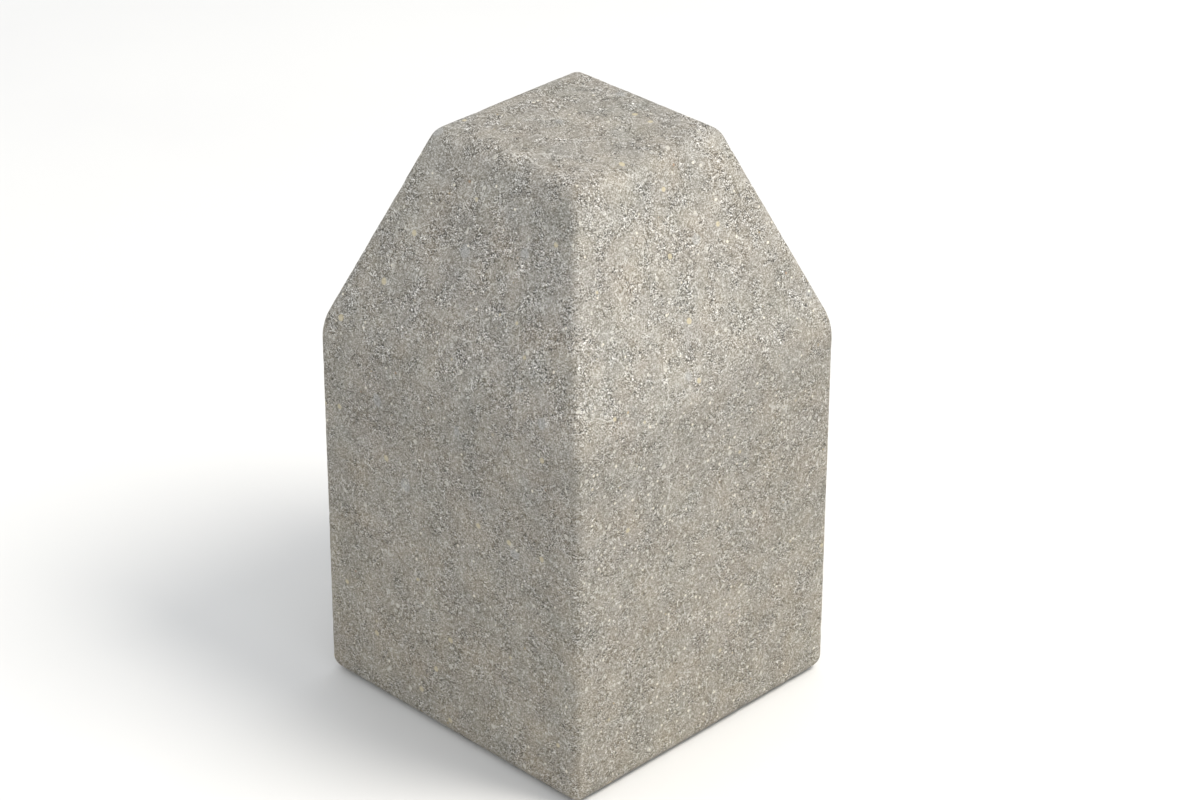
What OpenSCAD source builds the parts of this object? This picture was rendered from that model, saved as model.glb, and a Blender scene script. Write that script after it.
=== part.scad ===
// Precast concrete barrier block: square foot, straight sides, sloped shoulders, small flat top.
// Cast round a cage of bent bars and links, with a lifting socket in the underside.
// Units are millimetres, +Z is up and the foot stands on z = 0.

/* [Block] */
// Side of the square foot
block_w = 300; // [280:5:360]
// Overall height
block_h = 514; // [490:1:560]
// Height at which the upright sides turn inward
shoulder_z = 336; // [320:1:345]
// Side of the flat top, before its edge is rounded
top_w = 162; // [155:1:190]

/* [Rounded edges] */
// Radius of the upright corners and the hips
corner_r = 7.5; // [5:0.5:20]
// Radius of the bottom edge
base_r = 13; // [6:0.5:16]
// Radius of the turn between an upright side and its sloped face
shoulder_r = 75; // [30:1:110]
// Radius of the edge round the flat top
top_r = 16; // [8:0.5:20]

/* [Reinforcement cage] */
// Concrete over the links
cover = 30; // [26:1:34]
// Diameter of the four corner bars
bar_d = 8; // [6:1:10]
// Diameter of the links
link_d = 6; // [5:0.5:7]
// Concrete past each end of a corner bar
bar_end_cover = 35; // [30:1:37]
// Height of the lowest link
link_low_z = 46; // [44:1:50]
// Height of the highest link in the straight part
link_high_z = 310; // [300:1:314]
// Height of the lower head link above the shoulder
head_link_low = 54; // [50:1:60]
// Depth of the upper head link below the flat top
head_link_high = 53; // [50:1:60]
// Straight length of a link's hook past its bend
hook_tail = 50; // [30:1:55]
// Film of cement paste between steel pieces that lie together
paste_film = 0.5; // [0.4:0.1:0.8]

/* [Tie wire] */
// Diameter of the tie wire
wire_d = 1.4; // [1.2:0.1:1.8]
// Diameter of the twisted ends of a tie
twist_d = 2.6; // [2.2:0.1:3]
// Length of the twisted ends of a tie
twist_len = 16; // [10:1:18]

/* [Cover spacers] */
// Width of a spacer wheel
wheel_w = 8; // [6:1:10]
// Thickness of a wheel's rim and spokes
wheel_t = 2.4; // [2:0.2:3]
// Thickness of a wheel's hub
hub_t = 2.6; // [2.2:0.2:3.2]
// Concrete skin left over a wheel's rim
wheel_skin = 1; // [0.8:0.1:2]

/* [Lifting socket] */
// Outside diameter of the socket
socket_d = 22; // [20:1:26]
// Length of the socket
socket_len = 80; // [75:1:95]
// Diameter of the socket's bore, the core of an M16 thread
bore_d = 14; // [12:0.5:14.5]
// Depth of the socket's bore
bore_len = 40; // [36:1:44]
// Diameter of the recess round the socket's mouth
recess_d = 40; // [36:1:50]
// Depth of the recess round the socket's mouth
recess_len = 10; // [8:1:12]
// Diameter of the cross bar that anchors the socket
cross_bar_d = 10; // [8:1:12]
// Length of the cross bar
cross_bar_len = 160; // [140:2:164]
// Middle of the cross bar, below the socket's inner end
cross_bar_drop = 15; // [12:1:18]

/* [Hidden] */
$fn = 48;

// half sizes and slopes of the head
half_w = block_w / 2;
half_top = top_w / 2;
run = half_w - half_top;
head_h = block_h - shoulder_z;
slope = atan2(run, head_h);
hip = atan2(run * sqrt(2), head_h);

// rolled edges: steps along an edge's turn, steps round a corner, corner radius left at a flat
turn_steps = 8;
corner_steps = 10;
flat_corner_r = 0.4 * corner_r;
shoulder_tan = shoulder_r * tan(slope / 2);
top_tan = top_r * tan((90 - slope) / 2);

// bends: the inside of a bend is two diameters
bar_bend_r = 2.5 * bar_d;
link_bend_r = 2.5 * link_d;
bend_thin = 0.01;
bend_lap = 0.3;
// room in a tie's loop past the bar and link that it holds
loop_ease = 0.2;

// a link climbs by its own thickness on the way round, so that its two hooks lie one over the other
climb = link_d + paste_film + 0.3;
bar_to_link = (bar_d + link_d) / 2 + paste_film;
link_half = half_w - cover - link_d / 2;
head_inset = (cover + link_d / 2) / cos(slope);

// diagonal distance of a link's bend from the block's axis
function bend_diag(half) = (half - link_bend_r) * sqrt(2) + link_bend_r;
// half side of a head link, which follows the sloped faces
function face_half(z) = half_w - (z - shoulder_z) * tan(slope);
function head_half(z) = face_half(z) - head_inset;

// corner bars: diagonal distance in the straight part, and in the head where they lean along the hips
bar_diag = bend_diag(link_half) - bar_to_link;
head_bar_shift = bar_to_link / cos(hip) + climb / 2 * tan(hip);
function head_bar_diag(z) = bend_diag(head_half(z)) - head_bar_shift;
crank_z = shoulder_z + (head_bar_diag(shoulder_z) - bar_diag) / tan(hip);

body_links = 4;
head_links = 2;
function link_z(i) = i < body_links
    ? link_low_z + i * (link_high_z - link_low_z) / (body_links - 1)
    : i == body_links ? shoulder_z + head_link_low : block_h - head_link_high;
function link_side(i) = i < body_links ? link_half : head_half(link_z(i));
function bar_diag_at(i, z) = i < body_links ? bar_diag : head_bar_diag(z);
function lean(i) = i < body_links ? 0 : hip;

wheel_r = cover + link_d / 2 - wheel_skin;
hub_hole_r = link_d / 2 + paste_film;
hub_r = hub_hole_r + hub_t;
// the slot takes the place of one more spoke
spoke_count = 5;
spoke_step = 360 / (spoke_count + 1);
// the links that carry spacer wheels
wheel_links = [0, 2, 4];

socket_top = recess_len + socket_len;
cross_bar_z = socket_top - cross_bar_drop;

concrete_body();
corner_bar(0);  // corner_bar_1
corner_bar(1);  // corner_bar_2
corner_bar(2);  // corner_bar_3
corner_bar(3);  // corner_bar_4
link(0);  // link_1
link(1);  // link_2
link(2);  // link_3
link(3);  // link_4
link(4);  // head_link_1
link(5);  // head_link_2
tie_wires(0);  // tie_wires_1
tie_wires(1);  // tie_wires_2
tie_wires(2);  // tie_wires_3
tie_wires(3);  // tie_wires_4
tie_wires(4);  // tie_wires_5
tie_wires(5);  // tie_wires_6
spacer(0, 0);  // low_spacer_1
spacer(0, 1);  // low_spacer_2
spacer(0, 2);  // low_spacer_3
spacer(0, 3);  // low_spacer_4
spacer(1, 0);  // mid_spacer_1
spacer(1, 1);  // mid_spacer_2
spacer(1, 2);  // mid_spacer_3
spacer(1, 3);  // mid_spacer_4
spacer(2, 0);  // head_spacer_1
spacer(2, 1);  // head_spacer_2
spacer(2, 2);  // head_spacer_3
spacer(2, 3);  // head_spacer_4
lifting_socket();
socket_cross_bar();

// The concrete, with a void for each piece that is cast in and the recess round the socket.
module concrete_body() {
  color("Silver")
  difference() {
    block_solid();
    translate([0, 0, -1])
      cylinder(d = recess_d, h = recess_len + 1);
    translate([0, 0, recess_len])
      cylinder(d = socket_d, h = socket_len);
    socket_cross_bar();
    for (k = [0 : 3])
      corner_bar(k);
    for (i = [0 : body_links + head_links - 1]) {
      link(i);
      tie_wires(i);
    }
    for (level = [0 : len(wheel_links) - 1])
      for (k = [0 : 3])
        spacer(level, k);
  }
}

// Corner bar: upright to the shoulder, then leaning in along the hip.
module corner_bar(k) {
  top_z = block_h - bar_end_cover;
  path = [
    [bar_diag, 0, bar_end_cover],
    [bar_diag, 0, crank_z],
    [head_bar_diag(top_z), 0, top_z]
  ];
  color("SaddleBrown")
  rotate([0, 0, 45 + 90 * k])
    bent_rod(path, bar_bend_r, bar_d);
}

// Closed link with two hooks that wrap one corner bar; each link has its hooks at the next corner.
module link(i) {
  s = link_side(i);
  // a hook's line leaves the bend on the far side of the bar
  over = link_bend_r * sqrt(2);
  reach = link_bend_r * tan(67.5) + hook_tail;
  path = [
    [s + over - reach / sqrt(2), s - reach / sqrt(2), -climb / 2],
    [s + over, s, -climb / 2],
    [-s, s, -climb / 4],
    [-s, -s, 0],
    [s, -s, climb / 4],
    [s, s + over, climb / 2],
    [s - reach / sqrt(2), s + over - reach / sqrt(2), climb / 2]
  ];
  color("Peru")
  translate([0, 0, link_z(i)])
  rotate([0, 0, 90 * i])
    bent_rod(path, link_bend_r, link_d);
}

// Wire ties at a link's three corners that have no hooks: a loop round bar and link, and twisted ends.
module tie_wires(i) {
  for (k = [1 : 3]) {
    z = link_z(i) + (k - 2) * climb / 4;
    apart = bend_diag(link_side(i)) - bar_diag_at(i, z);
    gap = apart * cos(lean(i));
    loop_x = (gap + link_d / 2 - bar_d / 2) / 2;
    loop_r = (gap + link_d / 2 + bar_d / 2) / 2 + loop_ease + paste_film + wire_d / 2;
    color("DimGray")
    rotate([0, 0, 45 + 90 * (k + i)])
    translate([bar_diag_at(i, z), 0, z])
    rotate([0, -lean(i), 0])
    translate([loop_x, 0, -apart * sin(lean(i))])
    rotate([45, 0, 0])
      tie(loop_r);
  }
}

module tie(loop_r) {
  rotate_extrude()
    translate([loop_r, 0])
      circle(d = wire_d, $fn = 24);
  translate([-loop_r, 0, 0])
  rotate([0, -90, 0])
    cylinder(d = twist_d, h = twist_len, $fn = 24);
}

// Plastic spacer wheel pushed on to the middle of a link's side, its slot towards the inside.
module spacer(level, k) {
  i = wheel_links[level];
  color("LightSlateGray")
  rotate([0, 0, 90 * (k + i)])
  translate([0, link_side(i), link_z(i) + (2 * k - 3) * climb / 8])
  rotate([0, 90, 0])
    wheel();
}

module wheel() {
  spoke_r = (hub_r + hub_hole_r) / 2;
  spoke_len = wheel_r - wheel_t / 2 - spoke_r;
  difference() {
    union() {
      tube(wheel_r, wheel_r - wheel_t, wheel_w);
      tube(hub_r, hub_hole_r, wheel_w);
      for (j = [0 : spoke_count - 1])
        rotate([0, 0, spoke_step * (j + 1) - 90])
        translate([spoke_r, -wheel_t / 2, -wheel_w / 2])
          cube([spoke_len, wheel_t, wheel_w]);
    }
    translate([-link_d / 2, -wheel_r - 1, -wheel_w])
      cube([link_d, wheel_r + 1, 2 * wheel_w]);
  }
}

// Threaded socket with a cross hole near its inner end.
module lifting_socket() {
  color("LightSteelBlue")
  difference() {
    translate([0, 0, recess_len])
      cylinder(d = socket_d, h = socket_len);
    translate([0, 0, recess_len - 1])
      cylinder(d = bore_d, h = bore_len + 1);
    translate([0, 0, cross_bar_z])
    rotate([0, 90, 0])
      cylinder(d = cross_bar_d + 2 * paste_film, h = socket_d + 2, center = true);
  }
}

module socket_cross_bar() {
  color("SaddleBrown")
  translate([0, 0, cross_bar_z])
  rotate([0, 90, 0])
    cylinder(d = cross_bar_d, h = cross_bar_len, center = true);
}

// Solid outline of the block: rounded squares stacked along the rolled edges.
// A ring is [half width, height, corner radius].
function base_ring(t) = [
  half_w - base_r * (1 - sin(t)),
  base_r * (1 - cos(t)),
  corner_r - (corner_r - flat_corner_r) * (1 - sin(t))
];
function shoulder_ring(t) = [
  half_w - shoulder_r * (1 - cos(t)),
  shoulder_z - shoulder_tan + shoulder_r * sin(t),
  corner_r
];
function top_ring(t) = [
  half_top - top_tan + top_r * cos(t),
  block_h - top_r * (1 - sin(t)),
  corner_r - (corner_r - flat_corner_r) * (cos(slope) - cos(t)) / cos(slope)
];
function ring_points(ring) = [
  for (q = [0 : 3])
    for (i = [0 : corner_steps])
      let (
        a = 90 * q + 90 * i / corner_steps,
        c = ring[0] - ring[2],
        sx = q == 0 || q == 3 ? 1 : -1,
        sy = q < 2 ? 1 : -1
      )
      [sx * c + ring[2] * cos(a), sy * c + ring[2] * sin(a), ring[1]]
];

module block_solid() {
  rings = concat(
    [for (i = [0 : turn_steps]) base_ring(90 * i / turn_steps)],
    [for (i = [0 : turn_steps]) shoulder_ring(slope * i / turn_steps)],
    [for (i = [0 : turn_steps]) top_ring(slope + (90 - slope) * i / turn_steps)]
  );
  m = 4 * (corner_steps + 1);
  last = len(rings) - 1;
  points = [for (ring = rings) each ring_points(ring)];
  sides = [
    for (k = [0 : last - 1])
      for (i = [0 : m - 1])
        let (
          a = k * m + i,
          b = k * m + (i + 1) % m
        )
        each [[a, a + m, b + m], [a, b + m, b]]
  ];
  bottom = [for (i = [0 : m - 1]) i];
  top = [for (i = [0 : m - 1]) last * m + m - 1 - i];
  polyhedron(points, concat([bottom], sides, [top]));
}

// Rod along a path of points, with round bends at the points between.
module bent_rod(path, bend_r, d) {
  n = len(path);
  dirs = [for (i = [0 : n - 2]) unit(path[i + 1] - path[i])];
  turns = [for (i = [1 : n - 2]) acos(dirs[i - 1] * dirs[i])];
  tans = [for (i = [0 : n - 1]) i == 0 || i == n - 1 ? 0 : bend_r * tan(turns[i - 1] / 2)];
  union() {
    for (i = [0 : n - 2])
      rod(path[i] + dirs[i] * tans[i], path[i + 1] - dirs[i] * tans[i + 1], d);
    for (i = [1 : n - 2])
      bend(path[i] - dirs[i - 1] * tans[i], dirs[i - 1], dirs[i], turns[i - 1], bend_r, d);
  }
}

module rod(from, to, d) {
  v = to - from;
  translate(from)
  rotate([0, acos(v.z / norm(v)), atan2(v.y, v.x)])
    cylinder(d = d, h = norm(v));
}

// Bend that starts at a point along one direction and ends along another.
// Bending draws the rod a hair thinner, and the bend runs a little way into the lengths it joins.
module bend(start, along, next, turn, bend_r, d) {
  inward = unit(next - along * (along * next));
  x = -inward;
  y = along;
  z = cross(x, y);
  c = start + inward * bend_r;
  lap = bend_lap / bend_r * 180 / PI;
  multmatrix([
    [x.x, y.x, z.x, c.x],
    [x.y, y.y, z.y, c.y],
    [x.z, y.z, z.z, c.z],
    [0, 0, 0, 1]
  ])
  rotate([0, 0, -lap])
  rotate_extrude(angle = turn + 2 * lap)
    translate([bend_r, 0])
      circle(d = d - 2 * bend_thin);
}

function unit(v) = v / norm(v);

module tube(outer_r, inner_r, w) {
  difference() {
    cylinder(r = outer_r, h = w, center = true);
    cylinder(r = inner_r, h = w + 2, center = true);
  }
}
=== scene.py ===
import math

import bpy
import numpy as np
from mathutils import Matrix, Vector


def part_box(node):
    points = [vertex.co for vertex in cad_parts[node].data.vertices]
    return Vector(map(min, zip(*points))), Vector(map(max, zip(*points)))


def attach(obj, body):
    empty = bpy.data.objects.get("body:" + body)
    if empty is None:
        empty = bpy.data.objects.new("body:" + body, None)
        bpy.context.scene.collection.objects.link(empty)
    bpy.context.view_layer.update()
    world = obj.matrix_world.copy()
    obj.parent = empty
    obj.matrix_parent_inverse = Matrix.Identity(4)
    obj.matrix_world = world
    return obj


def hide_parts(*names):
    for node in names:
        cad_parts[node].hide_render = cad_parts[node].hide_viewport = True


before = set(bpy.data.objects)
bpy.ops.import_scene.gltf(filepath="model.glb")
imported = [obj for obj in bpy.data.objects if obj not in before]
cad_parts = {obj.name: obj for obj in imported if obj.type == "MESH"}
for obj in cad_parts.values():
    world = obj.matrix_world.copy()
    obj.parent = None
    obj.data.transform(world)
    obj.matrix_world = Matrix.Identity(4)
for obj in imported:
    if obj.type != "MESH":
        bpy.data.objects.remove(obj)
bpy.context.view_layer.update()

# Sizes of the block, in metres
body_low, body_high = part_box("concrete_body")
SIDE = body_high[0] - body_low[0]
HEIGHT = body_high[2]
SHOULDER = 0.336
TOP = 0.162
CORNER_R = 0.0075
BASE_R = 0.013
SHOULDER_R = 0.075
TOP_R = 0.016
# A corner's radius shrinks to this where it rolls over into the underside and the flat top.
FLAT_CORNER_R = 0.4 * CORNER_R
SLOPE = math.atan2((SIDE - TOP) / 2, HEIGHT - SHOULDER)
# Where the shoulder's turn begins and ends, where the rim's turn begins, and half the width of the flat top.
TURN_LOW = SHOULDER - SHOULDER_R * math.tan(SLOPE / 2)
TURN_HIGH = TURN_LOW + SHOULDER_R * math.sin(SLOPE)
RIM_LOW = HEIGHT - TOP_R * (1 - math.sin(SLOPE))
RIM_FLAT = TOP / 2 - TOP_R * math.tan((math.pi / 2 - SLOPE) / 2)

# Sizes of the lifting socket, its recess in the underside, its thread, and the hole for its cross bar
socket_low, socket_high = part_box("lifting_socket")
SOCKET_R = socket_high[0]
SOCKET_TOP = socket_high[2]
SOCKET_CHAMFER = 0.0005
RECESS_R = 0.020
RECESS_DEPTH = socket_low[2]
BORE_R = 0.007
BORE_TOP = 0.050
THREAD_PITCH = 0.002
THREAD_DEPTH = 0.001
PASTE_FILM = 0.0005
bar_low, bar_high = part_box("socket_cross_bar")
CROSS_HOLE_R = (bar_high[2] - bar_low[2]) / 2 + PASTE_FILM
CROSS_HOLE_Z = (bar_low[2] + bar_high[2]) / 2

# Steps of the casting's fine skin
ARC_STEPS = 4  # half a corner's turn
FLAT_STEPS = 92  # a flat side
UNDERSIDE_STEPS = 18  # from the recess to the foot
EDGE_STEPS = 8  # the turn of the foot, and of the rim
SHOULDER_STEPS = 9
ROW_STEP = 0.003  # spacing of the rows on upright and sloped faces

# Steps of the socket, and the angle from which its edges are sharp
SOCKET_TURNS = 48
ROWS_PER_PITCH = 10
WALL_ROWS = 12
CROSS_HOLE_TURNS = 40
SHARP_EDGE = math.radians(25)

# Relief of the casting's skin: depths, the holes' spacing, and how worn the paste is, low and high
CAST_FACE = {
    "Unevenness": 0.0004,
    "Lumps": 0.0003,
    "Sand": 0.0005,
    "Hole depth": 0.0008,
    "Hole spacing": 0.015,
    "Edge loss": 0.002,
    "Wear low": 0.6,
    "Wear high": 1.0,
    "Seed": 4.0,
}
# Small stones in the skin: number to a square metre, radii, share of each that is sunk, and lowest height
SAND_GRAINS = {
    "Density": 4200.0,
    "Smallest": 0.0008,
    "Largest": 0.0024,
    "Sunk": 0.72,
    "Lowest": 0.006,
    "Seed": 11,
}
# The socket's thread, and the hole for its cross bar
THREAD = {
    "Pitch": THREAD_PITCH,
    "Depth": THREAD_DEPTH,
    "End": BORE_TOP,
    "Hole radius": CROSS_HOLE_R,
    "Hole height": CROSS_HOLE_Z,
    "Hole length": 3 * SOCKET_R,
}

# Colours of the concrete
GREENISH_PASTE = (0.294, 0.288, 0.2585)
WARM_PASTE = (0.328, 0.303, 0.2605)
PINKISH_PASTE = (0.340, 0.298, 0.260)
BLUISH_PASTE = (0.281, 0.281, 0.275)
# warm tint near the ground, above 1 so that it also paints the foot lighter: a painted light that lifts the
# shade near the floor
GROUND_TINT_AND_PAINTED_LIGHT = (1.047, 1.026, 0.980)
DARKEST_PASTE = (0.07, 0.068, 0.062)
SMOOTH_STONE = (0.350, 0.352, 0.345)
PALE_GRAIN = (0.62, 0.60, 0.54)
BRIGHT_GRAIN = (0.73, 0.69, 0.59)
# painted shade inside pits
PAINTED_PIT_SHADE = (0.10, 0.095, 0.085)
# painted highlight on the lower lips of pits
LOWER_LIP_HIGHLIGHT = (0.52, 0.50, 0.45)
OCHRE_STONE = (0.52, 0.46, 0.32)
BROWN_STONE = (0.27, 0.16, 0.09)
LIME = (0.58, 0.565, 0.53)
# Each tone of the small stones, with the share at which it begins.
STONE_TONES = [
    (0.0, (0.46, 0.44, 0.40)),
    (0.42, (0.34, 0.32, 0.28)),
    (0.68, (0.22, 0.21, 0.195)),
    (0.86, (0.40, 0.32, 0.19)),
    (0.94, (0.60, 0.58, 0.54)),
]

# Colours of the other pieces, and of the floor
MILL_SCALE = (0.12, 0.105, 0.10)
RUST = (0.25, 0.105, 0.045)
DEEP_RUST = (0.13, 0.05, 0.025)
WIRE_BLACK = (0.035, 0.034, 0.036)
WIRE_BROWN = (0.10, 0.07, 0.05)
PLASTIC_DARK = (0.15, 0.16, 0.17)
PLASTIC_LIGHT = (0.19, 0.20, 0.21)
ZINC_DULL = (0.55, 0.56, 0.58)
ZINC_BRIGHT = (0.72, 0.72, 0.70)
PAPER_DARK = (0.68, 0.68, 0.68)
PAPER_LIGHT = (0.70, 0.70, 0.695)

# The studio
FLOOR_HALF = 9.0
FLOOR_Z = -0.0004
SKY_COLOUR = (0.97, 0.985, 1.0, 1.0)
SKY_STRENGTH = 1.035
KEY_PLACE = (1.74, 0.84, 3.1)
KEY_AIM = (0.0, 0.0, 0.3)
KEY_SIZE = 1.4
KEY_POWER = 109.0
KEY_COLOUR = (1.0, 0.955, 0.88)

# The camera, from a fit to the block's outline; it stands on the block's diagonal
LENS_MM = 115.112
SENSOR_MM = 36.0
PICTURE_WIDTH = 1200
BLOCK_MIDDLE = 577.14  # pixels from the picture's left side
CAMERA_AWAY = 2.77712
CAMERA_UP = 1.81135
CAMERA_TILT = math.radians(29.1348)


# Node helpers

def set_inputs(tree, node, inputs):
    """Sets a node's inputs to plain values, or links them to other nodes' outputs."""
    for name, value in inputs.items():
        if isinstance(value, bpy.types.NodeSocket):
            tree.links.new(value, node.inputs[name])
        else:
            node.inputs[name].default_value = value


def place(tree, kind, inputs=None, **settings):
    """Adds a node, sets its properties, and sets or links its inputs."""
    node = tree.nodes.new(kind)
    for name, value in settings.items():
        setattr(node, name, value)
    set_inputs(tree, node, inputs or {})
    return node


def calc(tree, operation, *values, clamp=False):
    """Math node on up to three numbers or sockets; returns its result."""
    node = place(tree, "ShaderNodeMath", dict(enumerate(values)), operation=operation, use_clamp=clamp)
    return node.outputs[0]


def total(tree, *values):
    """Sum of numbers or sockets."""
    result = values[0]
    for value in values[1:]:
        result = calc(tree, "ADD", result, value)
    return result


def product(tree, *values):
    """Product of numbers or sockets."""
    result = values[0]
    for value in values[1:]:
        result = calc(tree, "MULTIPLY", result, value)
    return result


def about(tree, value, strength):
    """A value from 0 to 1 made a swing round zero."""
    return product(tree, calc(tree, "SUBTRACT", value, 0.5), strength)


def spread(tree, value, low, high, to_low=0.0, to_high=1.0, smooth=False):
    """Map Range node, clamped; returns its result."""
    inputs = {"Value": value, "From Min": low, "From Max": high, "To Min": to_low, "To Max": to_high}
    curve = "SMOOTHSTEP" if smooth else "LINEAR"
    return place(tree, "ShaderNodeMapRange", inputs, interpolation_type=curve).outputs["Result"]


def between(tree, share, at_none, at_full):
    """A number that goes from one value to another as a share goes from 0 to 1."""
    return spread(tree, share, 0.0, 1.0, at_none, at_full)


def vector_calc(tree, operation, *values):
    """Vector Math node on vectors; returns its result."""
    return place(tree, "ShaderNodeVectorMath", dict(enumerate(values)), operation=operation).outputs[0]


def scaled(tree, vector, factor):
    """A vector or colour times a number."""
    return place(tree, "ShaderNodeVectorMath", {0: vector, "Scale": factor}, operation="SCALE").outputs[0]


def upright(tree, vector):
    """The upright part of a vector."""
    return place(tree, "ShaderNodeSeparateXYZ", {"Vector": vector}).outputs["Z"]


def group_tree(name, kind, inputs, outputs):
    """Node group with named sockets; returns the tree, its input node and its output node."""
    tree = bpy.data.node_groups.new(name, kind)
    for label, socket, value in inputs:
        made = tree.interface.new_socket(label, in_out="INPUT", socket_type=socket)
        if value is not None:
            made.default_value = value
    for label, socket in outputs:
        tree.interface.new_socket(label, in_out="OUTPUT", socket_type=socket)
    return tree, tree.nodes.new("NodeGroupInput"), tree.nodes.new("NodeGroupOutput")


def geometry_tree(name, values):
    """Geometry tree with an input for each named value, and one for a material."""
    inputs = [("Geometry", "NodeSocketGeometry", None)]
    for label, value in values.items():
        socket = "NodeSocketInt" if isinstance(value, int) else "NodeSocketFloat"
        inputs.append((label, socket, value))
    inputs.append(("Material", "NodeSocketMaterial", None))
    return group_tree(name, "GeometryNodeTree", inputs, [("Geometry", "NodeSocketGeometry")])


def end_tree(tree, given, result, geometry):
    """Ends a geometry tree: instances made real, and the material set."""
    whole = place(tree, "GeometryNodeRealizeInstances", {"Geometry": geometry}).outputs[0]
    inputs = {"Geometry": whole, "Material": given.outputs["Material"]}
    finished = place(tree, "GeometryNodeSetMaterial", inputs).outputs[0]
    tree.links.new(finished, result.inputs["Geometry"])


def new_object(name, data):
    """Object at the origin, in the scene."""
    made = bpy.data.objects.new(name, data)
    bpy.context.scene.collection.objects.link(made)
    return made


def run_tree(source, tree, values, material, name):
    """Runs a geometry tree on an object's mesh and returns the result as a plain mesh object."""
    modifier = source.modifiers.new(tree.name, "NODES")
    modifier.node_group = tree
    settings = {**values, "Material": material}
    for item in tree.interface.items_tree:
        if item.in_out == "INPUT" and item.name in settings:
            modifier[item.identifier] = settings[item.name]
    graph = bpy.context.evaluated_depsgraph_get()
    mesh = bpy.data.meshes.new_from_object(source.evaluated_get(graph), depsgraph=graph)
    source.modifiers.remove(modifier)
    mesh.name = name
    return new_object(name, mesh)


def kept_value(tree, name):
    """Reads a named attribute in a geometry tree."""
    node = place(tree, "GeometryNodeInputNamedAttribute", {"Name": name}, data_type="FLOAT")
    return node.outputs["Attribute"]


def keep_value(tree, geometry, name, value, domain="POINT"):
    """Stores a named attribute in a geometry tree."""
    inputs = {"Geometry": geometry, "Name": name, "Value": value}
    node = place(tree, "GeometryNodeStoreNamedAttribute", inputs, data_type="FLOAT", domain=domain)
    return node.outputs[0]


def moved(tree, geometry, offset):
    """Moves the points of a geometry."""
    return place(tree, "GeometryNodeSetPosition", {"Geometry": geometry, "Offset": offset}).outputs[0]


# The skin of the casting

def block_row(half, z, radius):
    """Closed row of points round the block, starting in the middle of a corner."""
    flat = half - radius
    turn_in = np.radians(np.linspace(-45, 0, ARC_STEPS + 1)[:-1])
    turn_out = np.radians(np.linspace(0, 45, ARC_STEPS + 1)[:-1])
    along = np.linspace(-flat, flat, FLAT_STEPS + 1)[:-1]
    side = np.concatenate([
        np.stack([flat + radius * np.cos(turn_in), -flat + radius * np.sin(turn_in)], 1),
        np.stack([np.full(FLAT_STEPS, half), along], 1),
        np.stack([flat + radius * np.cos(turn_out), flat + radius * np.sin(turn_out)], 1),
    ])
    x = side[:, 0]
    y = side[:, 1]
    row = np.concatenate([np.stack(quarter, 1) for quarter in ((x, y), (-y, x), (-x, -y), (y, -x))])
    return np.column_stack([row, np.full(len(row), z)])


def round_row(radius, z):
    """Closed round row with as many points as a row round the block."""
    count = 4 * (2 * ARC_STEPS + FLAT_STEPS)
    turn = np.radians(-45 + 360 * np.arange(count) / count)
    return np.column_stack([radius * np.cos(turn), radius * np.sin(turn), np.full(count, z)])


def steps_to(start, end, steps):
    """Even steps after start, up to and including end."""
    return np.linspace(start, end, steps + 1)[1:]


def recess_rows():
    """Rows from the top of the socket's pocket, over the recess's floor and wall, to its mouth."""
    floor_turn = [(-0.0050, 0.0), (-0.0012, 0.0), (-0.0003, -0.0003), (0.0, -0.0010)]
    mouth_turn = [(0.0, 0.0012), (0.0004, 0.0003), (0.0013, 0.0)]
    profile = [(SOCKET_R, SOCKET_TOP), (SOCKET_R, BORE_TOP), (SOCKET_R, RECESS_DEPTH)]
    profile += [(RECESS_R + out, RECESS_DEPTH + up) for out, up in floor_turn]
    profile += [(RECESS_R, RECESS_DEPTH / 2)]
    profile += [(RECESS_R + out, up) for out, up in mouth_turn]
    return [round_row(radius, z) for radius, z in profile]


def rolled_corner(ease):
    """Corner radius on a rolled edge, from the side's at 0 to the flat's at 1."""
    return CORNER_R - (CORNER_R - FLAT_CORNER_R) * ease


def skin_rows():
    """Rows from the socket's pocket, over the underside and up the sides, to the edge of the flat top."""
    rows = recess_rows()
    mouth = rows[-1]
    foot = block_row(SIDE / 2 - BASE_R, 0.0, FLAT_CORNER_R)
    for share in steps_to(0, 1, UNDERSIDE_STEPS):
        rows.append(mouth * (1 - share) + foot * share)
    for turn in np.radians(steps_to(0, 90, EDGE_STEPS)):
        ease = 1 - math.sin(turn)
        z = BASE_R * (1 - math.cos(turn))
        rows.append(block_row(SIDE / 2 - BASE_R * ease, z, rolled_corner(ease)))
    for z in steps_to(BASE_R, TURN_LOW, round((TURN_LOW - BASE_R) / ROW_STEP)):
        rows.append(block_row(SIDE / 2, z, CORNER_R))
    for turn in steps_to(0, SLOPE, SHOULDER_STEPS):
        half = SIDE / 2 - SHOULDER_R * (1 - math.cos(turn))
        rows.append(block_row(half, TURN_LOW + SHOULDER_R * math.sin(turn), CORNER_R))
    turn_half = SIDE / 2 - SHOULDER_R * (1 - math.cos(SLOPE))
    rim_half = RIM_FLAT + TOP_R * math.cos(SLOPE)
    inward = rim_half - turn_half
    upward = RIM_LOW - TURN_HIGH
    for share in steps_to(0, 1, round(math.hypot(inward, upward) / ROW_STEP)):
        rows.append(block_row(turn_half + inward * share, TURN_HIGH + upward * share, CORNER_R))
    for turn in steps_to(SLOPE, math.pi / 2, EDGE_STEPS):
        ease = (math.cos(SLOPE) - math.cos(turn)) / math.cos(SLOPE)
        z = HEIGHT - TOP_R * (1 - math.sin(turn))
        rows.append(block_row(RIM_FLAT + TOP_R * math.cos(turn), z, rolled_corner(ease)))
    return rows


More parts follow.
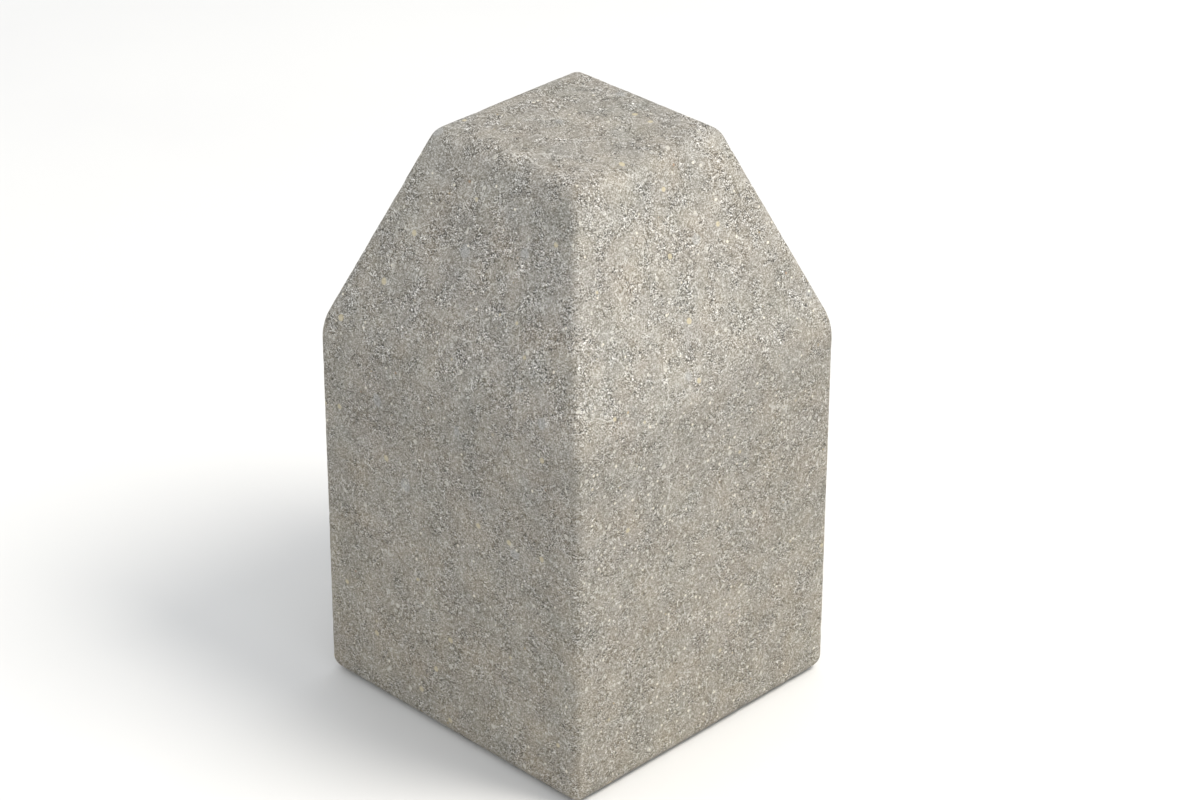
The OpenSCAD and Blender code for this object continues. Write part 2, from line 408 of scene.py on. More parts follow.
def flat_top(border, first):
    """Grid inside the last row: its inner points, and its faces by point number."""
    n = len(border) // 4
    ring = np.vstack([border, border[:1]])
    near = ring[:n + 1]
    far = ring[2 * n:3 * n + 1][::-1]
    start = ring[3 * n:4 * n + 1][::-1]
    end = ring[n:2 * n + 1]
    u = np.linspace(0, 1, n + 1)[:, None, None]
    v = np.linspace(0, 1, n + 1)[None, :, None]
    sides = (1 - v) * near[:, None] + v * far[:, None] + (1 - u) * start[None] + u * end[None]
    corners = ((1 - u) * (1 - v) * ring[0] + u * (1 - v) * ring[n]
               + (1 - u) * v * ring[3 * n] + u * v * ring[2 * n])
    grid = sides - corners
    number = np.zeros((n + 1, n + 1), int)
    base = first - 4 * n
    number[:, 0] = base + np.arange(n + 1)
    number[n, :] = base + n + np.arange(n + 1)
    number[:, n] = base + 3 * n - np.arange(n + 1)
    number[0, 1:] = base + 4 * n - np.arange(1, n + 1)
    number[1:n, 1:n] = first + np.arange((n - 1) ** 2).reshape(n - 1, n - 1)
    faces = np.stack([number[:-1, :-1], number[1:, :-1], number[1:, 1:], number[:-1, 1:]], -1)
    return grid[1:n, 1:n].reshape(-1, 3), faces.reshape(-1, 4)


def closeness(gap, reach):
    """1 where there is no gap, falling towards 0 beyond the reach."""
    return np.exp(-(np.maximum(gap, 0) / reach) ** 2)


def arris_share(points):
    """How close each point is to an edge of the casting, from 0 to 1."""
    edge_reach = 0.007
    foot_reach = 0.010
    foot_inner = 0.125
    bend_reach = 0.012
    bend_share = 0.35
    x = np.abs(points[:, 0])
    y = np.abs(points[:, 1])
    z = points[:, 2]
    widest = np.maximum(x, y)
    top_flat = z > HEIGHT - 1e-4
    half = np.where(z > TURN_HIGH, SIDE / 2 - (z - SHOULDER) * math.tan(SLOPE), SIDE / 2)
    corner = np.where(top_flat, 0, closeness(half - CORNER_R - np.minimum(x, y), edge_reach))
    foot = closeness(z - BASE_R, edge_reach) * closeness(foot_inner - widest, foot_reach)
    rim = np.where(top_flat, closeness(RIM_FLAT - widest, edge_reach), closeness(RIM_LOW - z, edge_reach))
    bend_gap = np.abs(z - (TURN_LOW + TURN_HIGH) / 2) - (TURN_HIGH - TURN_LOW) / 2
    bend = bend_share * closeness(bend_gap, bend_reach)
    return np.maximum.reduce([corner, foot, rim, bend])


def plain_skin():
    """The casting's skin before its relief, with the attribute "arris"."""
    rows = skin_rows()
    count = len(rows[0])
    points = np.vstack(rows)
    inner, top_faces = flat_top(rows[-1], len(points))
    points = np.vstack([points, inner, [[0, 0, SOCKET_TOP]]])
    here = np.arange(count)
    after = np.roll(here, -1)
    faces = []
    for k in range(len(rows) - 1):
        low = k * count
        high = low + count
        faces.append(np.stack([low + here, low + after, high + after, high + here], 1))
    quads = np.vstack(faces + [top_faces]).tolist()
    fan = np.stack([np.full(count, len(points) - 1), after, here], 1).tolist()
    mesh = bpy.data.meshes.new("plain_skin")
    mesh.from_pydata(points.tolist(), [], quads + fan)
    arris = mesh.attributes.new("arris", "FLOAT", "POINT")
    arris.data.foreach_set("value", arris_share(points).astype(np.float32))
    mesh.shade_smooth()
    mesh.update()
    return new_object("plain_skin", mesh)


def air_holes(tree, given, where):
    """Depth of the small round holes that air leaves at a mould's wall."""
    inputs = {
        "Vector": where,
        "W": given.outputs["Seed"],
        "Scale": calc(tree, "DIVIDE", 1.0, given.outputs["Hole spacing"]),
    }
    cells = place(tree, "ShaderNodeTexVoronoi", inputs, voronoi_dimensions="4D")
    chance = place(tree, "ShaderNodeSeparateXYZ", {"Vector": cells.outputs["Color"]})
    # a cell has a hole only where its chance is over this, and a wider one the higher it is
    least_chance = 0.72
    thinnest = 0.001
    radius = total(tree, calc(tree, "SUBTRACT", chance.outputs[0], least_chance, clamp=True), thinnest)
    inside = calc(tree, "SUBTRACT", 1.0, calc(tree, "DIVIDE", cells.outputs["Distance"], radius), clamp=True)
    bowl = spread(tree, inside, 0.0, 0.8, smooth=True)
    share = between(tree, chance.outputs[1], 0.4, 1.0)
    return product(tree, bowl, given.outputs["Hole depth"], share)


def cast_face_tree():
    """Displaces the plain skin: the mould's slow unevenness, sandy lumps, air holes, and losses along edges.

    Zones where the smooth paste has worn off are rougher; their share is kept as the attribute "worn"."""
    tree, given, result = geometry_tree("cast_face", CAST_FACE)
    where = tree.nodes.new("GeometryNodeInputPosition").outputs[0]
    normal = tree.nodes.new("GeometryNodeInputNormal").outputs[0]

    def noise(scale, detail, shift):
        seed = calc(tree, "ADD", given.outputs["Seed"], shift)
        inputs = {"Vector": where, "W": seed, "Scale": scale, "Detail": detail}
        return place(tree, "ShaderNodeTexNoise", inputs, noise_dimensions="4D").outputs[0]

    blend = 0.05
    wear = spread(tree, upright(tree, where), SHOULDER - blend, SHOULDER + blend,
                  given.outputs["Wear low"], given.outputs["Wear high"])
    worn = product(tree, spread(tree, noise(scale=62, detail=3, shift=15), 0.42, 0.62, smooth=True), wear)
    slow = about(tree, noise(scale=8, detail=1, shift=0), given.outputs["Unevenness"])
    lumps = about(tree, noise(scale=70, detail=2, shift=3), given.outputs["Lumps"])
    sand = about(tree, noise(scale=230, detail=2, shift=7), given.outputs["Sand"])
    sand = product(tree, sand, between(tree, worn, 0.5, 1.5))
    loss = calc(tree, "SUBTRACT", noise(scale=60, detail=3, shift=11), 0.5, clamp=True)
    loss = product(tree, loss, kept_value(tree, "arris"), given.outputs["Edge loss"])
    rise = total(tree, slow, lumps, sand)
    rise = calc(tree, "SUBTRACT", calc(tree, "SUBTRACT", rise, air_holes(tree, given, where)), loss)
    marked = keep_value(tree, given.outputs["Geometry"], "worn", worn)
    end_tree(tree, given, result, moved(tree, marked, scaled(tree, normal, rise)))
    return tree


def sand_grain_tree():
    """Scatters small stones over a skin, sunk so that their crowns show; each carries a tone from 0 to 1."""
    tree, given, result = geometry_tree("sand_grains", SAND_GRAINS)
    height = upright(tree, tree.nodes.new("GeometryNodeInputPosition").outputs[0])
    outside = place(tree, "FunctionNodeCompare", {"A": height, "B": given.outputs["Lowest"]},
                    data_type="FLOAT", operation="GREATER_THAN")
    more_where_worn = between(tree, kept_value(tree, "worn"), 0.6, 1.8)
    points = place(tree, "GeometryNodeDistributePointsOnFaces", {
        "Mesh": given.outputs["Geometry"],
        "Selection": outside.outputs[0],
        "Seed": given.outputs["Seed"],
        "Density": product(tree, given.outputs["Density"], more_where_worn),
    })

    def chance(shift, high=1.0):
        node = place(tree, "FunctionNodeRandomValue", data_type="FLOAT")
        tree.links.new(calc(tree, "ADD", given.outputs["Seed"], shift), node.inputs["Seed"])
        # sockets 2 and 3 are the lowest and highest number, and output 1 is the number
        node.inputs[2].default_value = 0.0
        node.inputs[3].default_value = high
        return node.outputs[1]

    few_large = calc(tree, "POWER", chance(1), 3.0)
    size = between(tree, few_large, given.outputs["Smallest"], given.outputs["Largest"])
    sink = product(tree, size, given.outputs["Sunk"], -1.0)
    sized = keep_value(tree, points.outputs["Points"], "size", size)
    sunk = moved(tree, sized, scaled(tree, points.outputs["Normal"], sink))
    ball = place(tree, "GeometryNodeMeshIcoSphere", {"Radius": 1.0, "Subdivisions": 1})
    dents = place(tree, "ShaderNodeTexNoise", {"Scale": 1.1, "Detail": 0.0}, noise_dimensions="3D")
    dent = vector_calc(tree, "SUBTRACT", dents.outputs[1], (0.5, 0.5, 0.5))
    stone = moved(tree, ball.outputs[0], dent)
    full_turn = 6.283
    turns = {number: chance(2 + number, full_turn) for number in range(3)}
    turn = place(tree, "ShaderNodeCombineXYZ", turns)
    flatness = 0.8
    size_again = kept_value(tree, "size")
    flatter = product(tree, size_again, flatness)
    grains = place(tree, "GeometryNodeInstanceOnPoints", {
        "Points": sunk,
        "Instance": stone,
        "Rotation": place(tree, "FunctionNodeEulerToRotation", {0: turn.outputs[0]}).outputs[0],
        "Scale": place(tree, "ShaderNodeCombineXYZ", {0: size_again, 1: size_again, 2: flatter}).outputs[0],
    })
    end_tree(tree, given, result, keep_value(tree, grains.outputs[0], "tone", chance(5), "INSTANCE"))
    return tree


# The lifting socket

def socket_blank():
    """Socket turned from its profile, with a plain bore; the rows of the bore carry the attribute "bore"."""
    steps = round((BORE_TOP - RECESS_DEPTH) / THREAD_PITCH) * ROWS_PER_PITCH
    bore = [(BORE_R, z) for z in np.linspace(BORE_TOP, RECESS_DEPTH, steps + 1)[:-1]]
    mouth = [(BORE_R + THREAD_DEPTH, RECESS_DEPTH), (SOCKET_R - SOCKET_CHAMFER, RECESS_DEPTH)]
    wall_heights = np.linspace(RECESS_DEPTH + SOCKET_CHAMFER, SOCKET_TOP - SOCKET_CHAMFER, WALL_ROWS)
    wall = [(SOCKET_R, z) for z in wall_heights]
    profile = bore + mouth + wall + [(SOCKET_R - SOCKET_CHAMFER, SOCKET_TOP)]
    turn = 2 * np.pi * np.arange(SOCKET_TURNS) / SOCKET_TURNS
    ring = np.stack([np.cos(turn), np.sin(turn)], 1)
    rows = [np.column_stack([radius * ring, np.full(SOCKET_TURNS, z)]) for radius, z in profile]
    points = np.vstack(rows + [[[0, 0, BORE_TOP], [0, 0, SOCKET_TOP]]])
    bore_middle = len(points) - 2
    top_middle = len(points) - 1
    here = np.arange(SOCKET_TURNS)
    pairs = list(zip(here, np.roll(here, -1)))
    faces = []
    for k in range(len(rows) - 1):
        low = k * SOCKET_TURNS
        high = low + SOCKET_TURNS
        faces += [[low + i, low + j, high + j, high + i] for i, j in pairs]
    last = (len(rows) - 1) * SOCKET_TURNS
    faces += [[bore_middle, j, i] for i, j in pairs]
    faces += [[last + i, last + j, top_middle] for i, j in pairs]
    mesh = bpy.data.meshes.new("socket_blank")
    mesh.from_pydata(points.tolist(), [], faces)
    in_bore = np.zeros(len(points), np.float32)
    in_bore[:len(bore) * SOCKET_TURNS] = 1.0
    mesh.attributes.new("bore", "FLOAT", "POINT").data.foreach_set("value", in_bore)
    return new_object("socket_blank", mesh)


def thread_tree():
    """Cuts a right-hand thread into the bore of a blank, and a hole across it."""
    tree, given, result = geometry_tree("thread", THREAD)
    where = tree.nodes.new("GeometryNodeInputPosition").outputs[0]
    x, y, z = place(tree, "ShaderNodeSeparateXYZ", {"Vector": where}).outputs
    turn = calc(tree, "DIVIDE", calc(tree, "ARCTAN2", y, x), 2 * math.pi)
    along = calc(tree, "SUBTRACT", calc(tree, "DIVIDE", z, given.outputs["Pitch"]), turn)
    flank = calc(tree, "ABSOLUTE", calc(tree, "SUBTRACT", calc(tree, "FRACT", along), 0.5))
    crest = 0.06
    root = 0.44
    groove = spread(tree, flank, crest, root)
    # the groove runs out over the last turn
    to_end = calc(tree, "SUBTRACT", given.outputs["End"], z)
    run_out = calc(tree, "DIVIDE", to_end, given.outputs["Pitch"], clamp=True)
    depth = product(tree, groove, run_out, product(tree, kept_value(tree, "bore"), given.outputs["Depth"]))
    outward = vector_calc(tree, "NORMALIZE", vector_calc(tree, "MULTIPLY", where, (1.0, 1.0, 0.0)))
    cut = moved(tree, given.outputs["Geometry"], scaled(tree, outward, depth))
    rod = place(tree, "GeometryNodeMeshCylinder", {
        "Vertices": CROSS_HOLE_TURNS,
        "Radius": given.outputs["Hole radius"],
        "Depth": given.outputs["Hole length"],
    })
    rod = place(tree, "GeometryNodeTransform", {
        "Geometry": rod.outputs["Mesh"],
        "Rotation": (0.0, math.pi / 2, 0.0),
        "Translation": place(tree, "ShaderNodeCombineXYZ", {2: given.outputs["Hole height"]}).outputs[0],
    })
    meshes = {"Mesh 1": cut, "Mesh 2": rod.outputs[0]}
    holed = place(tree, "GeometryNodeMeshBoolean", meshes, operation="DIFFERENCE")
    end_tree(tree, given, result, holed.outputs["Mesh"])
    return tree


# Effects shared by the materials

def mottle_group():
    """Soft patches: a mask from 0 to 1, and a level round 1 that wanders by Amount."""
    tree, given, result = group_tree("mottle", "ShaderNodeTree", [
        ("Vector", "NodeSocketVector", None),
        ("Scale", "NodeSocketFloat", 20.0),
        ("Detail", "NodeSocketFloat", 3.0),
        ("Amount", "NodeSocketFloat", 0.1),
        ("Seed", "NodeSocketFloat", 0.0),
    ], [("Mask", "NodeSocketFloat"), ("Level", "NodeSocketFloat")])
    noise = place(tree, "ShaderNodeTexNoise", {
        "Vector": given.outputs["Vector"],
        "W": given.outputs["Seed"],
        "Scale": given.outputs["Scale"],
        "Detail": given.outputs["Detail"],
        "Roughness": 0.55,
    }, noise_dimensions="4D").outputs[0]
    mask = spread(tree, noise, 0.3, 0.7)
    swing = about(tree, mask, product(tree, given.outputs["Amount"], 2.0))
    tree.links.new(mask, result.inputs["Mask"])
    tree.links.new(calc(tree, "ADD", 1.0, swing), result.inputs["Level"])
    return tree


def fleck_group():
    """Sparse flecks: one in each cell that Share lets through, up to Size of the cell, with ragged edges."""
    tree, given, result = group_tree("fleck", "ShaderNodeTree", [
        ("Vector", "NodeSocketVector", None),
        ("Scale", "NodeSocketFloat", 200.0),
        ("Share", "NodeSocketFloat", 0.1),
        ("Size", "NodeSocketFloat", 0.3),
        ("Ragged", "NodeSocketFloat", 0.3),
        ("Seed", "NodeSocketFloat", 0.0),
    ], [("Mask", "NodeSocketFloat")])
    shift = scaled(tree, (1.7, 2.3, 3.1), given.outputs["Seed"])
    where = vector_calc(tree, "ADD", given.outputs["Vector"], shift)
    rag = place(tree, "ShaderNodeTexNoise", {
        "Vector": where,
        "Scale": product(tree, given.outputs["Scale"], 2.2),
        "Detail": 1.0,
    }, noise_dimensions="3D").outputs[0]
    cells = place(tree, "ShaderNodeTexVoronoi", {"Vector": where, "Scale": given.outputs["Scale"]})
    chance = place(tree, "ShaderNodeSeparateColor", {"Color": cells.outputs["Color"]})
    there = calc(tree, "GREATER_THAN", given.outputs["Share"], chance.outputs[0])
    far = calc(tree, "ADD", cells.outputs["Distance"], about(tree, rag, given.outputs["Ragged"]))
    reach = product(tree, given.outputs["Size"], between(tree, chance.outputs[1], 0.5, 1.0))
    body = calc(tree, "SUBTRACT", 1.0, calc(tree, "DIVIDE", far, reach), clamp=True)
    mask = product(tree, spread(tree, body, 0.0, 0.3, smooth=True), there)
    tree.links.new(mask, result.inputs["Mask"])
    return tree


mottle = mottle_group()
fleck = fleck_group()


def patches(tree, where, scale, seed, detail=3.0):
    """Mask of soft patches."""
    inputs = {"Vector": where, "Scale": scale, "Detail": detail, "Seed": seed}
    return place(tree, "ShaderNodeGroup", inputs, node_tree=mottle).outputs["Mask"]


def clouding(tree, where, scale, seed, amount):
    """Level round 1 that wanders over the surface."""
    inputs = {"Vector": where, "Scale": scale, "Amount": amount, "Seed": seed}
    return place(tree, "ShaderNodeGroup", inputs, node_tree=mottle).outputs["Level"]


def flecks(tree, where, scale, share, size, seed, ragged=0.12):
    """Mask of sparse flecks."""
    inputs = {"Vector": where, "Scale": scale, "Share": share, "Size": size, "Ragged": ragged, "Seed": seed}
    return place(tree, "ShaderNodeGroup", inputs, node_tree=fleck).outputs["Mask"]


# Material helpers

def tint(tree, factor, below, above, blend="MIX"):
    """Mixes two colours, each a socket or three numbers, by a factor."""
    colours = [(*colour, 1.0) if isinstance(colour, tuple) else colour for colour in (below, above)]
    # sockets 0, 6 and 7 are the factor and the two colours, and output 2 is the mixed colour
    inputs = {0: factor, 6: colours[0], 7: colours[1]}
    return place(tree, "ShaderNodeMix", inputs, data_type="RGBA", blend_type=blend).outputs[2]


def bump(tree, height, strength, distance):
    """Normal that a height bends."""
    inputs = {"Height": height, "Strength": strength, "Distance": distance}
    return place(tree, "ShaderNodeBump", inputs).outputs[0]


def surface_value(tree, name):
    """Reads a mesh attribute in a material."""
    return place(tree, "ShaderNodeAttribute", attribute_name=name).outputs["Fac"]


def new_material(name):
    """Material with nodes; returns it, its tree, its shader, and the object's own coordinates."""
    material = bpy.data.materials.new(name)
    material.use_nodes = True
    tree = material.node_tree
    shader = tree.nodes["Principled BSDF"]
    where = place(tree, "ShaderNodeTexCoord").outputs["Object"]
    return material, tree, shader, where


# The concrete

def fine_noise(tree, where, scale, seed=0.0):
    """Noise of two octaves."""
    inputs = {"Vector": where, "W": seed, "Scale": scale, "Detail": 1.0, "Roughness": 0.6}
    return place(tree, "ShaderNodeTexNoise", inputs, noise_dimensions="4D").outputs[0]


def lowered(tree, where, drop):
    """Coordinates that show a pattern again a little lower."""
    return vector_calc(tree, "ADD", where, (0.0, 0.0, drop))


def crooked_lines(tree, where, scale, seed, shut):
    """Short crooked lines, where a noise crosses its middle and a coarser one is over the level shut."""
    width = 0.05
    off = calc(tree, "ABSOLUTE", calc(tree, "SUBTRACT", fine_noise(tree, where, scale, seed), 0.5))
    line = spread(tree, off, 0.0, width, 1.0, 0.0, smooth=True)
    coarser = fine_noise(tree, where, scale * 0.5, seed + 1.0)
    return product(tree, line, spread(tree, coarser, shut, shut + 0.05))


def packed_grains(tree, where, scale):
    """Close-packed grains: how far a point is from its grain's middle, and a level of the grain's own."""
    node = place(tree, "ShaderNodeTexVoronoi", {"Vector": where, "Scale": scale})
    level = place(tree, "ShaderNodeSeparateColor", {"Color": node.outputs["Color"]}).outputs[0]
    return node.outputs["Distance"], level


def paste_colour(tree, where, height):
    """Cement paste in soft patches of greenish, warm, pinkish and bluish grey, warmer towards the ground and
    painted lighter there, a painted light that lifts the shade near the floor.
    """
    colour = tint(tree, patches(tree, where, scale=26.0, seed=1.0), GREENISH_PASTE, WARM_PASTE)
    pinkish = product(tree, patches(tree, where, scale=30.0, seed=5.0), 0.32)
    colour = tint(tree, pinkish, colour, PINKISH_PASTE)
    bluish = product(tree, patches(tree, where, scale=34.0, seed=9.0), 0.46)
    colour = tint(tree, bluish, colour, BLUISH_PASTE)
    wavy_height = total(tree, height, product(tree, patches(tree, where, scale=15.0, seed=21.0), 0.1))
    # warmer near the ground and painted lighter there: a painted light that lifts the shade near the floor
    colour = tint(tree, spread(tree, wavy_height, 0.10, 0.45, 1.0, 0.0), colour, GROUND_TINT_AND_PAINTED_LIGHT, "MULTIPLY")
    colour = scaled(tree, colour, clouding(tree, where, scale=20.0, seed=17.0, amount=0.09))
    return scaled(tree, colour, clouding(tree, where, scale=65.0, seed=19.0, amount=0.09))


def lime_hairs(tree, where):
    """Short, broken, crooked hairs along the walls of bent cells."""
    bend = place(tree, "ShaderNodeTexNoise", {"Vector": where, "Scale": 60.0, "Detail": 3.0}).outputs[1]
    bent = vector_calc(tree, "ADD", where, scaled(tree, bend, 0.008))
    cells = place(tree, "ShaderNodeTexVoronoi", {"Vector": bent, "Scale": 30.0}, feature="DISTANCE_TO_EDGE")
    hair = spread(tree, cells.outputs["Distance"], 0.006, 0.020, 1.0, 0.0)
    some = spread(tree, fine_noise(tree, where, scale=34.0), 0.57, 0.62)
    broken = spread(tree, fine_noise(tree, where, scale=420.0, seed=80.0), 0.36, 0.54)
    return product(tree, hair, some, broken)


def wear_and_painted_light(tree, where, height, colour):
    """The head is painted paler, a painted light from above; worn edges are paler, partly a painted
    highlight; and the flat top is painted darker, a painted shade.
    """
    # painted light: the head above the shoulder is painted paler, as if more light fell on it from above
    wavy_height = total(tree, height, product(tree, patches(tree, where, scale=20.0, seed=51.0), 0.03))
    colour = scaled(tree, colour, spread(tree, wavy_height, 0.31, 0.38, 0.95, 1.06, smooth=True))
    # edges are paler in patches where worn, and partly a painted highlight along them
    edges = product(tree, surface_value(tree, "arris"), patches(tree, where, scale=55.0, seed=41.0))
    colour = scaled(tree, colour, between(tree, edges, 1.0, 1.04))
    # painted shade: faces that look up, the flat top most, are painted darker
    faces_up = upright(tree, place(tree, "ShaderNodeTexCoord").outputs["Normal"])
    return scaled(tree, colour, spread(tree, faces_up, 0.5, 0.95, 1.0, 0.79))


def sandy_grain(tree, where, worn):
    """Sand with pale crests, and where worn, cracks painted dark as shade, with a painted highlight on their
    lower lips.

    Returns the level of each grain of sand, the swing of the colour, and the relief."""
    far, sand = packed_grains(tree, where, scale=1150.0)
    far_big, big = packed_grains(tree, where, scale=300.0)
    fine = fine_noise(tree, where, scale=1150.0)
    crests = crooked_lines(tree, where, scale=520.0, seed=60.0, shut=0.55)
    # painted shade: the cracks are painted dark in the colour below
    cracks = product(tree, crooked_lines(tree, where, scale=480.0, seed=70.0, shut=0.53), worn)
    # painted highlight: the same cracks a little lower, painted paler, as if their lower lips caught light
    # from above
    below = lowered(tree, where, 0.0010)
    lips = product(tree, crooked_lines(tree, below, scale=480.0, seed=70.0, shut=0.53), worn)
    # squared, so that few grains are bright; the mean of the squares is a third
    few_bright = calc(tree, "SUBTRACT", calc(tree, "POWER", sand, 2.0), 0.333)
    swing = total(
        tree, product(tree, few_bright, 1.2), about(tree, big, 0.08), about(tree, fine, 2.9),
        product(tree, crests, 1.8), product(tree, cracks, -3.5), product(tree, lips, 2.0),
        between(tree, worn, -0.115, -0.11),
    )
    relief = total(
        tree, product(tree, sand, 0.5), product(tree, far, -0.6), product(tree, fine, 0.4),
        product(tree, big, 0.2), product(tree, far_big, -0.2), crests, product(tree, cracks, -1.5),
    )
    return sand, swing, relief


def pale_grains(tree, where):
    """Pale grains: round ones, and long ones that lie two ways."""
    mask = flecks(tree, where, scale=80.0, share=0.18, size=0.22, seed=8.0)
    for seed, turn in ((2.0, (0.5, 0.9, 0.0)), (3.0, (-0.7, -0.8, 0.4))):
        stretch = {"Vector": where, "Rotation": turn, "Scale": (1.0, 1.0, 0.45)}
        turned = place(tree, "ShaderNodeMapping", stretch).outputs[0]
        long_grains = flecks(tree, turned, scale=190.0, share=0.22, size=0.24, seed=seed)
        mask = calc(tree, "MAXIMUM", mask, long_grains)
    return mask


def cast_concrete():
    """Cement paste with a sandy grain, worn zones, pale and ochre stones, pits painted dark as shade with a
    painted highlight on their lower lips, and hairs of lime.
    """
    material, tree, shader, where = new_material("cast_concrete")
    height = upright(tree, where)
    worn = surface_value(tree, "worn")

    # a few larger stones lie smooth in the paste
    stones = flecks(tree, where, scale=32.0, share=0.16, size=0.24, seed=14.0, ragged=0.22)
    colour = tint(tree, product(tree, stones, 0.6), paste_colour(tree, where, height), SMOOTH_STONE)

    # sandy grain, rougher in the worn zones and smoother on the stones
    rough = product(tree, between(tree, worn, 0.62, 1.18), between(tree, stones, 1.0, 0.55))
    sand, swing, relief = sandy_grain(tree, where, worn)
    colour = vector_calc(tree, "ADD", colour, product(tree, swing, rough, 0.315))
    colour = vector_calc(tree, "MAXIMUM", colour, DARKEST_PASTE)

    # flecks, each mask with its strength and colour; pits lie in the worn zones, painted dark as shade, with
    # a painted highlight on their lower lips
    pale = pale_grains(tree, where)
    bright = flecks(tree, where, scale=160.0, share=0.09, size=0.25, seed=12.0, ragged=0.1)
    # painted shade: pits are painted dark
    pit_share = product(tree, worn, 0.36)
    pits = flecks(tree, where, scale=180.0, share=pit_share, size=0.25, seed=4.0)
    # painted highlight: the pits shown again a little lower and painted paler, as if their lower lips caught
    # light from above
    below = lowered(tree, where, 0.0012)
    lower_lip_highlights = flecks(tree, below, scale=180.0, share=pit_share, size=0.25, seed=4.0)
    ochre = flecks(tree, where, scale=55.0, share=0.15, size=0.19, seed=6.0)
    brown = flecks(tree, where, scale=70.0, share=0.06, size=0.12, seed=7.0, ragged=0.06)
    layers = [
        (pale, 0.62, PALE_GRAIN),
        (bright, 0.8, BRIGHT_GRAIN),
        (lower_lip_highlights, 0.5, LOWER_LIP_HIGHLIGHT),
        (pits, 0.85, PAINTED_PIT_SHADE),
        (ochre, 0.8, OCHRE_STONE),
        (brown, 0.7, BROWN_STONE),
        (lime_hairs(tree, where), 0.7, LIME),
    ]
    for mask, strength, shade in layers:
        colour = tint(tree, product(tree, mask, strength), colour, shade)

    relief = total(tree, relief, product(tree, pale, 0.4), product(tree, pits, -0.9))
    set_inputs(tree, shader, {
        "Base Color": wear_and_painted_light(tree, where, height, colour),
        "Roughness": between(tree, sand, 0.97, 0.84),
        "Specular IOR Level": 0.25,
        "Normal": bump(tree, product(tree, relief, rough), strength=0.7, distance=0.0007),
    })
    return material


def sand_stone():
    """The small stones in the skin, each in one of a few tones."""
    material, tree, shader, where = new_material("sand_stone")
    ramp = place(tree, "ShaderNodeValToRGB", {"Fac": surface_value(tree, "tone")})
    ramp.color_ramp.interpolation = "CONSTANT"
    while len(ramp.color_ramp.elements) < len(STONE_TONES):
        ramp.color_ramp.elements.new(0.5)
    for element, (begins, shade) in zip(ramp.color_ramp.elements, STONE_TONES):
        element.position = begins
        element.color = (*shade, 1.0)
    grain = clouding(tree, where, scale=700.0, seed=3.0, amount=0.18)
    set_inputs(tree, shader, {
        "Base Color": scaled(tree, ramp.outputs[0], grain),
        "Roughness": spread(tree, grain, 0.8, 1.2, 0.9, 0.75),
        "Specular IOR Level": 0.3,
        "Normal": bump(tree, grain, strength=0.3, distance=0.0004),
    })
    return material


# The other materials

def rusty_steel():
    """Reinforcing steel: dark mill scale that rust has broken through."""
    material, tree, shader, where = new_material("rusty_steel")
    patch = patches(tree, where, scale=90.0, seed=2.0, detail=4.0)
    pits = flecks(tree, where, scale=420.0, share=0.35, size=0.5, seed=8.0, ragged=0.3)
    grain = place(tree, "ShaderNodeTexNoise", {"Vector": where, "Scale": 900.0, "Detail": 3.0}).outputs[0]
    rusted = tint(tree, patch, MILL_SCALE, RUST)
    set_inputs(tree, shader, {
        "Base Color": tint(tree, product(tree, pits, 0.7), rusted, DEEP_RUST),
        "Roughness": between(tree, patch, 0.45, 0.9),
        "Metallic": spread(tree, patch, 0.2, 0.8, 0.8, 0.05),
        "Normal": bump(tree, calc(tree, "SUBTRACT", grain, pits), strength=0.4, distance=0.0003),
    })
    return material


def black_wire():
    """Annealed tie wire, black with brown patches."""
    material, tree, shader, where = new_material("black_wire")
    patch = patches(tree, where, scale=260.0, seed=4.0)
    set_inputs(tree, shader, {
        "Base Color": tint(tree, patch, WIRE_BLACK, WIRE_BROWN),
        "Roughness": between(tree, patch, 0.35, 0.7),
        "Metallic": 0.8,
        "Normal": bump(tree, patch, strength=0.2, distance=0.0002),
    })
    return material


def moulded_grey():
    """Grey moulded plastic with a fine texture."""
    material, tree, shader, where = new_material("moulded_grey")
    patch = patches(tree, where, scale=60.0, seed=6.0, detail=2.0)
    texture = place(tree, "ShaderNodeTexNoise", {"Vector": where, "Scale": 1400.0, "Detail": 2.0}).outputs[0]
    set_inputs(tree, shader, {
        "Base Color": tint(tree, patch, PLASTIC_DARK, PLASTIC_LIGHT),
        "Roughness": spread(tree, texture, 0.3, 0.7, 0.48, 0.62),
        "Normal": bump(tree, texture, strength=0.12, distance=0.0002),
    })
    return material


def zinc_plate():
    """Zinc-plated steel with dull and bright patches."""
    material, tree, shader, where = new_material("zinc_plate")
    patch = patches(tree, where, scale=150.0, seed=7.0, detail=4.0)
    set_inputs(tree, shader, {
        "Base Color": tint(tree, patch, ZINC_DULL, ZINC_BRIGHT),
        "Roughness": between(tree, patch, 0.28, 0.5),
        "Metallic": 1.0,
        "Normal": bump(tree, patch, strength=0.1, distance=0.0002),
    })
    return material


def studio_paper():
    """White paper with a faint mottle."""
    material, tree, shader, where = new_material("studio_paper")
    set_inputs(tree, shader, {
        "Base Color": tint(tree, patches(tree, where, scale=3.0, seed=0.0), PAPER_DARK, PAPER_LIGHT),
        "Roughness": 0.9,
    })
    return material


# The pieces

steel = rusty_steel()
zinc = zinc_plate()

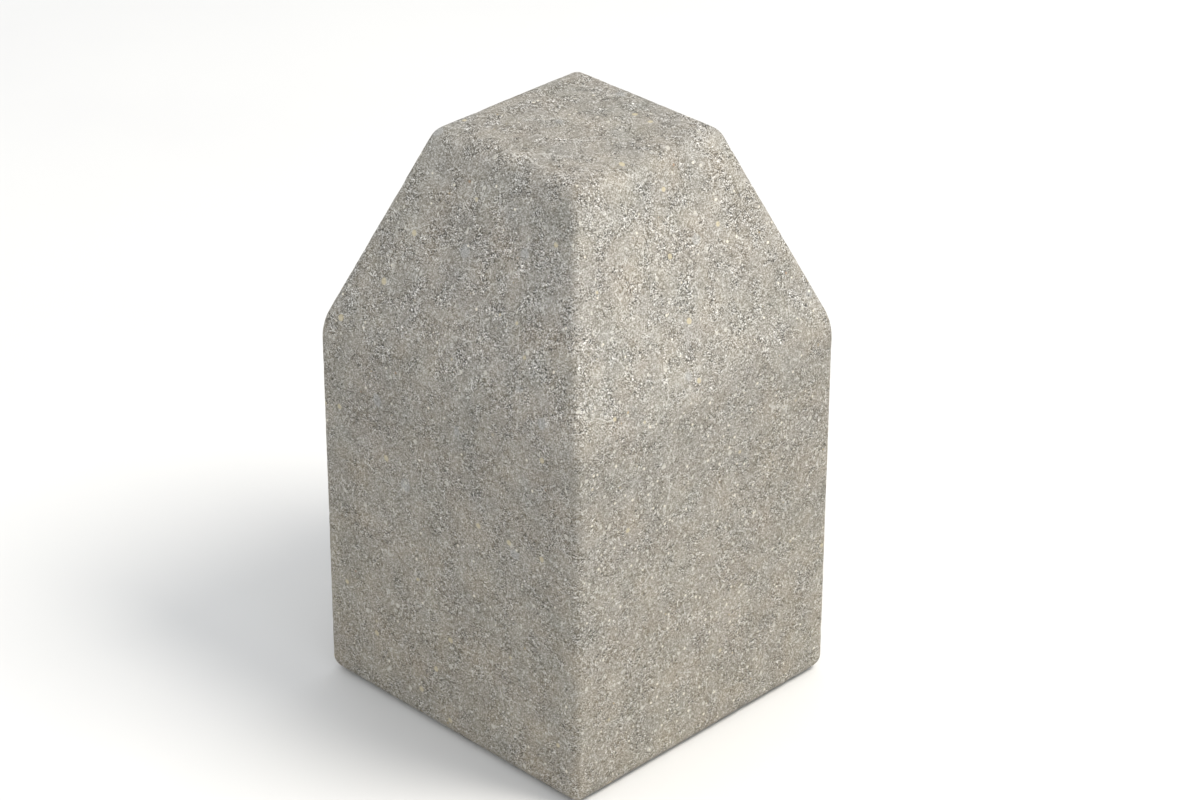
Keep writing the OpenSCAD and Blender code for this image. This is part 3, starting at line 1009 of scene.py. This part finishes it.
plain = plain_skin()
casting = run_tree(plain, cast_face_tree(), CAST_FACE, cast_concrete(), "casting")
grains = run_tree(casting, sand_grain_tree(), SAND_GRAINS, sand_stone(), "exposed_grains")
blank = socket_blank()
socket = run_tree(blank, thread_tree(), THREAD, zinc, "threaded_socket")
for used in (plain, blank):
    bpy.data.objects.remove(used)
casting.data.shade_smooth()
socket.data.shade_smooth()
socket.data.set_sharp_from_angle(angle=SHARP_EDGE)

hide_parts("concrete_body")
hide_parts("lifting_socket")
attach(socket, "root")
for piece in (casting, grains):
    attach(piece, "root")

# A CAD node takes the finish whose word is in its name.
finishes = {
    "corner_bar": steel,
    "tie_wires": black_wire(),
    "spacer": moulded_grey(),
    "lifting_socket": zinc,
    "link": steel,
    "socket_cross_bar": steel,
}
for name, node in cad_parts.items():
    for word, finish in finishes.items():
        if word in name:
            node.data.materials.clear()
            node.data.materials.append(finish)
            break

# The studio

floor_mesh = bpy.data.meshes.new("studio_floor")
floor_signs = [(-1, -1), (1, -1), (1, 1), (-1, 1)]
floor_points = [(FLOOR_HALF * x, FLOOR_HALF * y, FLOOR_Z) for x, y in floor_signs]
floor_mesh.from_pydata(floor_points, [], [(0, 1, 2, 3)])
floor_mesh.materials.append(studio_paper())
new_object("studio_floor", floor_mesh)

world = bpy.data.worlds.new("studio")
bpy.context.scene.world = world
world.use_nodes = True
sky = world.node_tree.nodes["Background"]
set_inputs(world.node_tree, sky, {"Color": SKY_COLOUR, "Strength": SKY_STRENGTH})

lamp = bpy.data.lights.new("key_light", "AREA")
lamp.shape = "DISK"
lamp.size = KEY_SIZE
lamp.energy = KEY_POWER
lamp.color = KEY_COLOUR
key_light = new_object("key_light", lamp)
key_light.location = KEY_PLACE
key_light.rotation_euler = (Vector(KEY_AIM) - Vector(KEY_PLACE)).to_track_quat("-Z", "Y").to_euler()

lens = bpy.data.cameras.new("camera")
lens.lens = LENS_MM
lens.sensor_width = SENSOR_MM
lens.sensor_fit = "HORIZONTAL"
lens.shift_x = (PICTURE_WIDTH / 2 - BLOCK_MIDDLE) / PICTURE_WIDTH
camera = new_object("camera", lens)
camera.location = (CAMERA_AWAY / math.sqrt(2), -CAMERA_AWAY / math.sqrt(2), CAMERA_UP)
camera.rotation_euler = (math.pi / 2 - CAMERA_TILT, 0, math.pi / 4)
bpy.context.scene.camera = camera
bpy.context.scene.view_settings.view_transform = "Standard"
